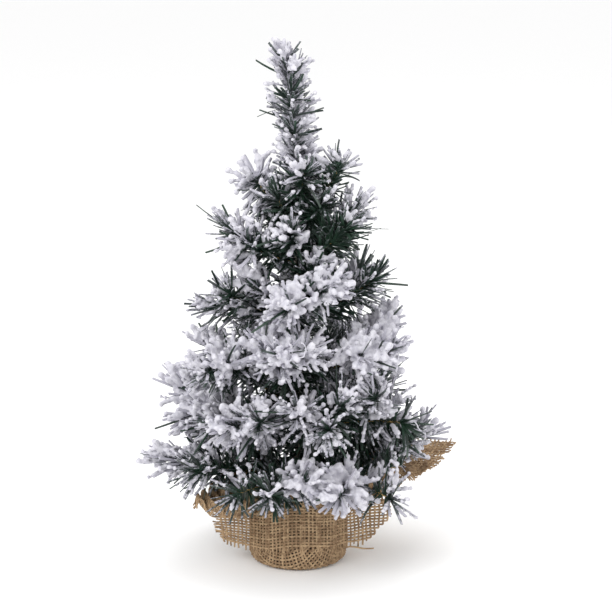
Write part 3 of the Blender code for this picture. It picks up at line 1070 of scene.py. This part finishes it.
def squarePlace(x, y):
    # where a point of the flat square comes to lie: under the weight, up its side in folds, then out
    rule = squareCloth
    path = math.hypot(x, y)
    heading = math.degrees(math.atan2(y, x))
    around = math.radians(heading)
    flatReach = rule["wallRadius"] - rule["footRadius"]
    arcPath = flatReach + rule["footRadius"] * math.pi / 2
    corner = min(rule["corners"], key=lambda item: abs(turnedFrom(heading, item[0])))
    off = turnedFrom(heading, corner[0])
    bump = (1 + math.cos(math.pi * off / 45)) / 2
    first, last = rule["tucked"]
    tuck = smoothShare(heading % 360, first, first + rule["tuckEase"])
    tuck *= 1 - smoothShare(heading % 360, last - rule["tuckEase"], last)
    rimPath = rule["rimPath"] + rule["frontRise"] * tuck
    if path <= flatReach:
        radius, height, normal = path, rule["underside"], Vector((0, -1))
    elif path <= arcPath:
        turn = (path - flatReach) / rule["footRadius"]
        radius = flatReach + rule["footRadius"] * math.sin(turn)
        height = rule["underside"] + rule["footRadius"] * (1 - math.cos(turn))
        normal = Vector((math.sin(turn), -math.cos(turn)))
    else:
        radius = rule["wallRadius"]
        height = rule["underside"] + rule["footRadius"] + min(path, rimPath) - arcPath
        normal = Vector((1, 0))
    excess = max(0.0, path - rimPath)
    share = rule["between"][0] + (corner[1] - rule["between"][0]) * bump
    slope = rule["between"][1] + (corner[2] - rule["between"][1]) * bump
    turned = off
    if excess:
        flare = smoothShare(excess, 0, rule["flareReach"])
        radius += excess * share * (math.cos(slope) * (1 - tuck) - rule["tuckIn"] * tuck)
        lift = (rule["rimLift"] - rule["tuckDrop"] * tuck) * mm * flare
        height += excess * share * math.sin(slope) * (1 - tuck) + lift
        normal = Vector((1 - flare, -flare)).normalized()
        turned = off * (1 + rule["fan"] * excess / rule["fanReach"] * (1 - (off / 45) ** 2))
        wave = rule["crumple"] * rule["crumpleDepth"] * math.sqrt(max(0.0, 1 / share ** 2 - 1)) * flare
        height += wave * math.sin(2 * math.pi * excess / rule["crumple"] + around * 5)
    # the cloth is fuller than the way round it, and the fullness goes into folds
    fullness = max(1.0, path / max(radius, mm))
    wall = smoothShare(path, arcPath, arcPath + rule["foldEnds"][0])
    wall *= 1 - smoothShare(excess, 0, rule["foldEnds"][1])
    uneven = noise.noise(Vector((math.cos(around) * 2, math.sin(around) * 2, 3)))
    phase = around * rule["folds"] + rule["foldUneven"] * uneven
    swing = wall * max(0.0, fullness - 1) * rule["swing"]
    theta = math.radians(corner[0] + turned) - swing / rule["folds"] * math.sin(phase)
    behind = smoothShare(math.sin(around), -0.1, 0.5)
    depth = rule["foldDepth"] * wall * (1.0 + rule["deeperBehind"] * behind)
    if excess:
        width = 2 * math.pi * radius / rule["folds"]
        most, calmFrom, calmTo = rule["calm"]
        calm = 1 - most * smoothShare(excess, calmFrom, calmTo)
        ruffle = width * rule["ruffle"] * math.sqrt(max(0.0, fullness ** 2 - 1))
        depth += ruffle * smoothShare(excess, 0, rule["ruffleReach"]) * calm
    radius += normal.x * depth * math.cos(phase)
    height += normal.y * depth * math.cos(phase)
    place = Vector((radius * math.cos(theta), radius * math.sin(theta), height))
    if excess:
        lateral = radius * math.sin(math.radians(turned))
        place.z += corner[3] * lateral * bump * smoothShare(excess, 0, rule["tiltReach"])
        rumple = noise.noise_vector(place * rule["rumpleScale"]) * rule["rumple"] * mm
        place += rumple * smoothShare(excess, 0, rule["rumpleReach"])
    return place


def stripPlan():
    # the strip's line seen from above, from its left end round the front to its right end
    rule = stripCloth
    arc = []
    for degrees in range(rule["from"], rule["to"] + 1, rule["step"]):
        turn = math.radians(degrees)
        arc.append(Vector((math.cos(turn), math.sin(turn), 0)) * rule["radius"])
    shares = (0.2, 0.4, 0.6, 0.8, 1)
    leftSlant, rightSlant = rule["slants"]
    left = [arc[0] + Vector((-share, leftSlant * share, 0)) * rule["leftEnd"] for share in shares]
    right = [arc[-1] + Vector((share, rightSlant * share, 0)) * rule["rightEnd"] for share in shares]
    line = left[::-1] + arc + right
    for _ in range(2):
        line = [line[0]] + [(a + 2 * b + c) / 4 for a, b, c in zip(line, line[1:], line[2:])] + [line[-1]]
    return line


def stripPlace(along, up, line, length):
    # where a point of the flat strip comes to lie; its far top corner is folded over to the front
    rule = stripCloth
    folded = (along - length + up - rule["height"] + rule["foldedCorner"]) / math.sqrt(2)
    layer = 0.0
    if folded > 0:
        along -= folded * math.sqrt(2)
        up -= folded * math.sqrt(2)
        layer = rule["foldGap"] * smoothShare(folded, 0, rule["foldEase"])
    place, direction = alongTwig(line, max(0.0, along))
    outward = Vector((direction.y, -direction.x, 0))
    leftShare = max(0.0, 1 - along / rule["leftEnd"])
    rightShare = max(0.0, 1 - (length - along) / rule["rightEnd"])
    rise = easedBetween(along / length, rule["edge"]) * mm
    upright = up * (1 - rule["narrowing"][0] * leftShare - rule["narrowing"][1] * rightShare)
    middle = up / rule["height"] - 0.5
    place = place + Vector((0, 0, rule["lift"] + rise + upright)) + outward * layer
    leftLean, rightLean = rule["leans"]
    lean = outward * (leftLean * leftShare - rightLean * rightShare) * middle * rule["height"]
    ends = leftShare + rightShare
    sway = outward * rule["sway"] * mm * ends * math.sin(along * rule["swayScale"] + middle * 2)
    least, added = rule["ripple"]
    ripple = noise.noise_vector(place * rule["rippleScale"]) * mm * (least + added * ends)
    return place + lean + sway + ripple


def clothGrid(columns, rows, placeOf):
    # the points and normals of the cloth's surface by column and row, from a mesh grid laid over it
    work = bmesh.new()
    bmesh.ops.create_grid(work, x_segments=columns, y_segments=rows, size=0.5)
    cells = {}
    for vert in work.verts:
        cell = (round((vert.co.x + 0.5) * columns), round((vert.co.y + 0.5) * rows))
        vert.co = placeOf(*cell)
        cells[cell] = vert
    work.normal_update()
    grid = {cell: (vert.co.copy(), vert.normal.copy()) for cell, vert in cells.items()}
    work.free()
    return grid


def weave(grid, columns, rows, inside, rng):
    # routes of all yarns: each passes over and under the others in turn, and edges are frayed
    rule = burlap
    routes = []
    for lengthways in (True, False):
        lines, steps = (rows, columns) if lengthways else (columns, rows)
        for line in range(lines + 1):
            edge = min(line, lines - line)
            outermost = edge < rule["pulledOut"] - 1
            if edge < rule["pulledOut"] and (outermost or rng.random() >= rule["stays"]):
                continue
            first, last = rng.choice(rule["stopsShort"]), steps - rng.choice(rule["stopsShort"])
            seed = Vector((rng.random(), rng.random(), rng.random())) * 90
            thick = rng.uniform(*rule["thickness"])
            route = []
            for step in range(first, last + 1):
                cell = (step, line) if lengthways else (line, step)
                if not inside(*cell):
                    if len(route) > rule["shortest"]:
                        routes.append(route)
                    route = []
                    continue
                place, normal = grid[cell]
                over = 1 if (step + line) % 2 == (0 if lengthways else 1) else -1
                loose = max(0.0, 1 - min(step - first, last - step) / rule["looseEnd"])
                drift = noise.noise_vector(place * rule["wanderScale"] + seed) * rule["wander"]
                drift *= 1 + rule["looseWander"] * loose
                slub = 1 + rule["slub"] * noise.noise(place * rule["slubScale"] + seed)
                radius = rule["yarnRadius"] * thick * slub * (1 - rule["looseThin"] * loose)
                route.append((place + normal * over * rule["crimp"] + drift, radius))
            if len(route) > rule["shortest"]:
                routes.append(route)
    return routes


def wovenPiece(name, routes, node, rng):
    # yarns as tubes, with a tone of its own on each
    groups = [[] for _ in range(burlap["tones"])]
    for route in routes:
        rng.choice(groups).append(route)
    work = bmesh.new()
    layer = work.verts.layers.float.new("yarnTone")
    for number, group in enumerate(groups):
        for vert in addCopy(work, tubesMesh(name, group)):
            vert[layer] = number / (burlap["tones"] - 1)
    mesh = meshOf(work, name)
    mesh.shade_smooth()
    piece = newPiece(name, mesh, "root", "burlap", node)
    setMaterial(piece, jute)
    return piece


def makeSquare():
    rng = random.Random(31)
    rule = squareCloth
    columns, rows = (int(2 * rule["halfSide"] / rule[pitch]) for pitch in ("pitchAlong", "pitchUp"))
    turn = math.radians(rule["yarnHeading"])
    alongAxis, upAxis = Vector((math.cos(turn), math.sin(turn))), Vector((-math.sin(turn), math.cos(turn)))

    def flat(column, row):
        across, up = (column - columns / 2) * rule["pitchAlong"], (row - rows / 2) * rule["pitchUp"]
        return alongAxis * across + upAxis * up

    def inside(column, row):
        point = flat(column, row)
        heading, reach = rule["tuckedCorner"]
        off = abs(turnedFrom(math.degrees(math.atan2(point.y, point.x)), heading))
        return off > 45 or point.length < reach

    grid = clothGrid(columns, rows, lambda column, row: squarePlace(*flat(column, row)))
    routes = weave(grid, columns, rows, inside, rng)
    square = wovenPiece("burlap_square_cloth", routes, "burlap_square", rng)
    print("square of burlap:", len(routes), "yarns", len(square.data.polygons), "faces")


def makeStrip():
    rng = random.Random(47)
    rule = stripCloth
    line = stripPlan()
    length = twigLength(line)
    columns, rows = int(length / rule["pitchAlong"]), int(rule["height"] / rule["pitchUp"])

    def placeOf(column, row):
        return stripPlace(length * column / columns, rule["height"] * row / rows, line, length)

    def inside(column, row):
        fromRight = (columns - column) * rule["pitchAlong"]
        lowCorner = row * rule["pitchUp"] + fromRight
        topCorner = (rows - row) * rule["pitchUp"] * rule["topSlant"] + column * rule["pitchAlong"]
        return lowCorner > rule["lowWorn"] and topCorner > rule["topWorn"]

    grid = clothGrid(columns, rows, placeOf)
    routes = weave(grid, columns, rows, inside, rng)
    start = stripPlace(length - rule["rightEnd"] + mm, 0.5 * mm, line, length)
    pulled = []
    for step in range(rule["pulledPoints"]):
        share = step / (rule["pulledPoints"] - 1)
        sag = (0.4 * math.sin(share * 7) - 0.5 * share) * mm
        offset = Vector((rule["pulledYarn"] * share, -2 * mm * share, sag))
        pulled.append((start + offset, rule["pulledRadius"]))
    routes.append(pulled)
    strip = wovenPiece("burlap_strip_cloth", routes, "burlap_strip", rng)
    print("strip of burlap:", len(routes), "yarns", len(strip.data.polygons), "faces")


makeSquare()
makeStrip()


# Studio

studio = {
    "lookAt": Vector((0.0054, 0, 0.1768)),
    "elevation": math.radians(13),
    "distance": 1.3,
    "lens": 114,
    "floorSize": 12.0,
    "floorColour": (0.97, 0.97, 0.97, 1),
    "roomColour": (1, 1, 1, 1),
    "roomStrength": 1.0,
    # each light's place, size and power
    "lights": {
        "keyLight": ((-0.9, -1.1, 1.3), 0.7, 13),
        "fillLight": ((1.2, -0.9, 0.8), 1.2, 4),
        "topLight": ((0.1, 0.3, 1.6), 1.2, 6),
    },
}


def addFloor():
    work = bmesh.new()
    bmesh.ops.create_grid(work, x_segments=1, y_segments=1, size=studio["floorSize"])
    floor = newObject("floor", meshOf(work, "floor"))
    material, tree, shader = newMaterial("paleFloor", 0.9)
    shader.inputs["Base Color"].default_value = studio["floorColour"]
    setMaterial(floor, material)


def addLight(name, place, size, power):
    light = bpy.data.lights.new(name, "AREA")
    light.size = size
    light.energy = power
    holder = newObject(name, light)
    holder.location = place
    holder.rotation_euler = (studio["lookAt"] - Vector(place)).to_track_quat("-Z", "Y").to_euler()


def addCamera():
    camera = newObject("camera", bpy.data.cameras.new("camera"))
    camera.data.lens = studio["lens"]
    away = Vector((0, -math.cos(studio["elevation"]), math.sin(studio["elevation"])))
    camera.location = studio["lookAt"] + away * studio["distance"]
    camera.rotation_euler = (-away).to_track_quat("-Z", "Y").to_euler()
    bpy.context.scene.camera = camera


def addRoom():
    world = bpy.data.worlds.new("paleRoom")
    bpy.context.scene.world = world
    world.use_nodes = True
    background = world.node_tree.nodes["Background"]
    background.inputs["Color"].default_value = studio["roomColour"]
    background.inputs["Strength"].default_value = studio["roomStrength"]
    bpy.context.scene.view_settings.view_transform = "Standard"


def addStudio():
    addFloor()
    for name, (place, size, power) in studio["lights"].items():
        addLight(name, place, size, power)
    addRoom()
    addCamera()
    print("studio made")


addStudio()
